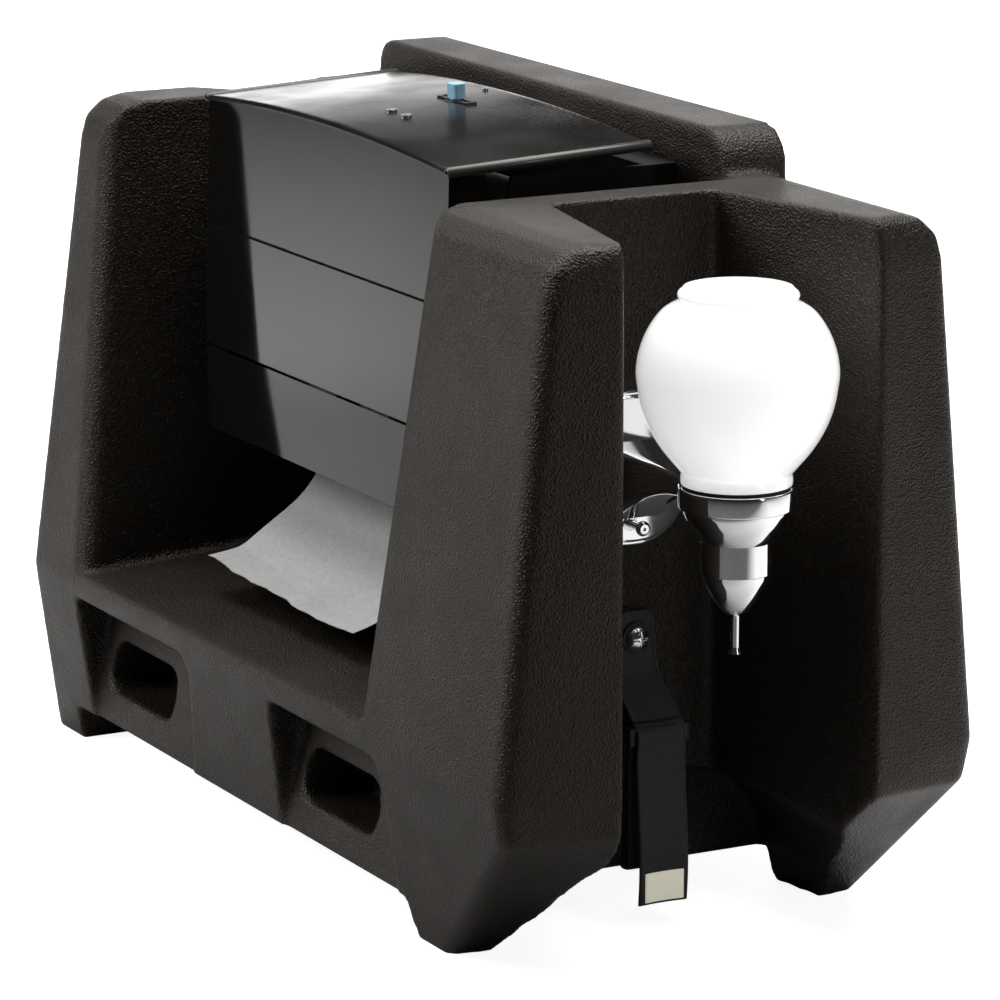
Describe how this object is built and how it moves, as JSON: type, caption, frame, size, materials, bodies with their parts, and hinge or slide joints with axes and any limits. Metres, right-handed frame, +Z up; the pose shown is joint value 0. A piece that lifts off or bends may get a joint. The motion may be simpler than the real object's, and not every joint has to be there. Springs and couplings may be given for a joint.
{
  "type": "portable handwash station",
  "caption": "Free-standing moulded handwash station with a towel-roll dispenser in its front bay and a push-up globe soap dispenser and tie-down strap in its side bay.",
  "frame": {"origin": "on the floor, at the middle of the overall width and depth", "axes": "+X along the width towards the soap bay, +Y from the towel side to the back wall, +Z up"},
  "size_m": [0.717, 0.314, 0.4589],
  "materials": {
    "body_plastic": "rotomoulded polyethylene with a fine pebble grain",
    "insert_brass": "plain",
    "housing_plastic": "moulded, lightly textured",
    "cover_plastic": "smoked gloss",
    "lid_plastic": "smoked gloss",
    "steel": "zinc-plated or brushed",
    "hub_plastic": "moulded",
    "core_board": "wound board",
    "towel_paper": "soft creped paper",
    "roller_rubber": "ground",
    "roller_plastic": "moulded",
    "key_plastic": "light blue",
    "lock_plastic": "moulded",
    "chrome": "bright plated",
    "opal": "opal white, bright gloss",
    "seal_rubber": "moulded",
    "nylon": "black nylon webbing",
    "bar_plastic": "moulded",
    "label_cloth": "cream sewn patch, left blank"
  },
  "bodies": {
    "station": {"body_shell": "body_plastic", "strap_insert": "insert_brass", "wall_anchor_nuts": "insert_brass", "housing": "housing_plastic", "apron": "cover_plastic", "housing_screws": "steel", "tear_bar": "steel", "latch_keeper": "steel", "hinge_pins": "steel", "roll_arm_left": "hub_plastic", "roll_arm_right": "hub_plastic", "paper_sheet": "towel_paper", "wall_plate": "chrome", "plate_screws": "chrome", "soap_bracket": "chrome", "bracket_lock": "chrome", "globe": "opal", "globe_gasket": "seal_rubber", "valve_body": "chrome", "valve_seal": "seal_rubber", "valve_spring": "steel", "strap_screw": "chrome", "strap_washer": "chrome"},
    "towel_roll": {"roll_core": "core_board", "paper_roll": "towel_paper"},
    "feed": {"feed_shaft": "steel", "feed_roller": "roller_rubber"},
    "pinch": {"pinch_shaft": "steel", "pinch_roller": "roller_plastic"},
    "cover": {"front_cover": "cover_plastic", "cover_lid": "lid_plastic", "lid_rivets": "steel", "lock_barrel": "lock_plastic"},
    "key": {"lock_key": "key_plastic", "lock_cam": "steel"},
    "cap": {"filler_cap": "opal"},
    "push_pin": {"plunger": "chrome"},
    "strap": {"strap_tab": "nylon", "strap_bar": "bar_plastic", "strap_webbing": "nylon", "strap_return": "nylon", "strap_label": "label_cloth"}
  },
  "joints": [
    {"name": "cover_swing", "type": "hinge", "parent": "station", "child": "cover", "pos_m": [-0.0705, -0.0725, 0.28], "axis": [1, 0, 0], "range_deg": [0, 65]},
    {"name": "key_turn", "type": "hinge", "parent": "cover", "child": "key", "pos_m": [-0.0735, 0.01842, 0.44815], "axis": [0, -0.0489, 0.9988], "range_deg": [0, 90]},
    {"name": "roll_spin", "type": "hinge", "parent": "station", "child": "towel_roll", "pos_m": [-0.0705, 0.012, 0.35], "axis": [1, 0, 0], "continuous": true},
    {"name": "feed_spin", "type": "hinge", "parent": "station", "child": "feed", "pos_m": [-0.0705, -0.008, 0.252], "axis": [1, 0, 0], "continuous": true},
    {"name": "pinch_spin", "type": "hinge", "parent": "station", "child": "pinch", "pos_m": [-0.0705, -0.0338, 0.252], "axis": [1, 0, 0], "continuous": true},
    {"name": "plunger_push", "type": "slide", "parent": "station", "child": "push_pin", "axis": [0, 0, 1], "range_m": [0, 0.008], "stiffness_N_per_m": 300, "springref_m": -0.01, "deforming": ["valve_spring"]},
    {"name": "cap_lift", "type": "slide", "parent": "station", "child": "cap", "axis": [0, 0, 1], "range_m": [0, 0.04]},
    {"name": "strap_swing", "type": "hinge", "parent": "station", "child": "strap", "pos_m": [0.1825, 0, 0.167], "axis": [1, 0, 0], "range_deg": [-12, 12]}
  ],
  "couplings": [
    {"joint": "feed_spin", "follows": "roll_spin", "ratio": 3.9333},
    {"joint": "pinch_spin", "follows": "roll_spin", "ratio": -5.9}
  ]
}
